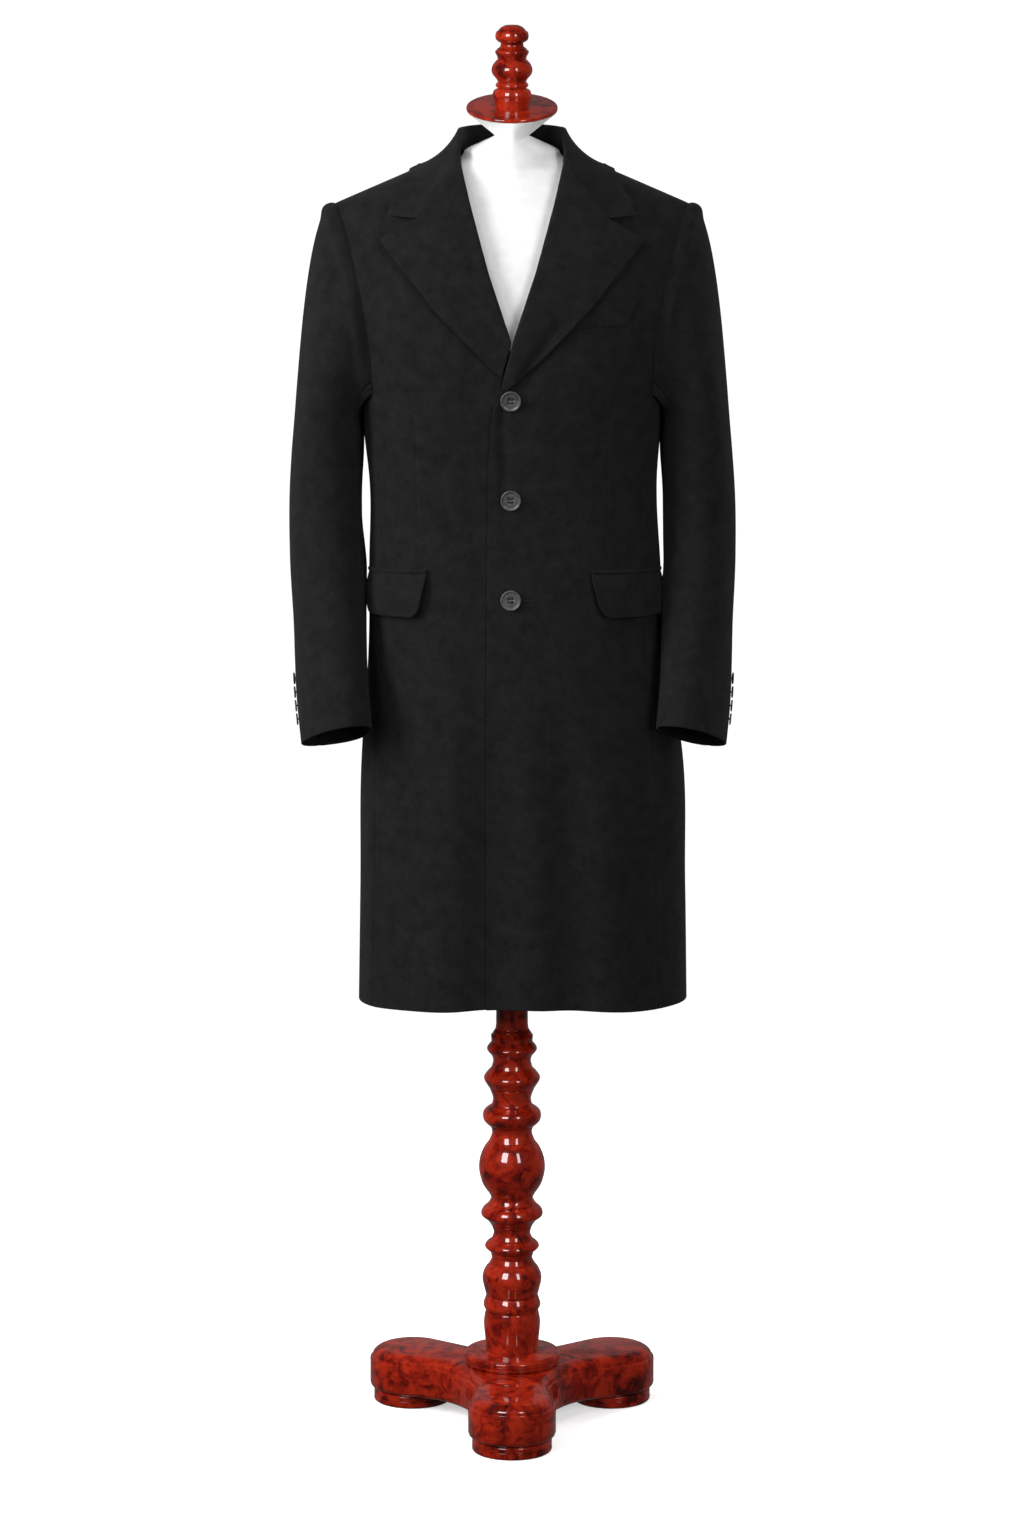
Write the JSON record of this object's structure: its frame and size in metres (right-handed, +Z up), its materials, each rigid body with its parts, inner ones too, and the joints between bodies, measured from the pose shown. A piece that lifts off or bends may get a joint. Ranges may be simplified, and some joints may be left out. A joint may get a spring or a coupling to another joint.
{
  "type": "notch lapel coat on a dress form",
  "caption": "Long single-breasted wool coat with notch lapels, flap pockets and vented cuffs, hollow as worn, on a limbless dress form with a turned wooden stand.",
  "frame": {"origin": "on the floor, below the middle of the whole", "axes": "+Z up; the coat's front faces -Y; +X is the wearer's left"},
  "size_m": [0.5528, 0.346, 1.7649],
  "materials": {
    "coat_cloth": "near-black wool coating with a soft short nap",
    "button_horn": "dark grey horn, satin, with four thread holes and a raised rim",
    "form_cover": "off-white jersey cover, matt",
    "stand_wood": "red-brown lacquered wood, glossy, with darker burl figure"
  },
  "bodies": {
    "root": {"coat_front_left": "coat_cloth", "coat_front_right": "coat_cloth", "side_panel_left": "coat_cloth", "side_panel_right": "coat_cloth", "coat_back_left": "coat_cloth", "coat_back_right": "coat_cloth", "sleeve_top_left": "coat_cloth", "sleeve_top_right": "coat_cloth", "sleeve_under_left": "coat_cloth", "sleeve_under_right": "coat_cloth", "lapel_left": "coat_cloth", "lapel_right": "coat_cloth", "collar": "coat_cloth", "pocket_flap_left": "coat_cloth", "pocket_flap_right": "coat_cloth", "pocket_jet_left": "coat_cloth", "pocket_jet_right": "coat_cloth", "breast_welt": "coat_cloth", "front_button_1": "button_horn", "front_button_2": "button_horn", "front_button_3": "button_horn", "cuff_button_left_1": "button_horn", "cuff_button_left_2": "button_horn", "cuff_button_left_3": "button_horn", "cuff_button_left_4": "button_horn", "cuff_button_right_1": "button_horn", "cuff_button_right_2": "button_horn", "cuff_button_right_3": "button_horn", "cuff_button_right_4": "button_horn", "form_torso": "form_cover", "neck_cap": "stand_wood", "finial": "stand_wood", "column": "stand_wood", "base": "stand_wood", "foot_front": "stand_wood", "foot_left": "stand_wood", "foot_right": "stand_wood"}
  },
  "joints": []
}
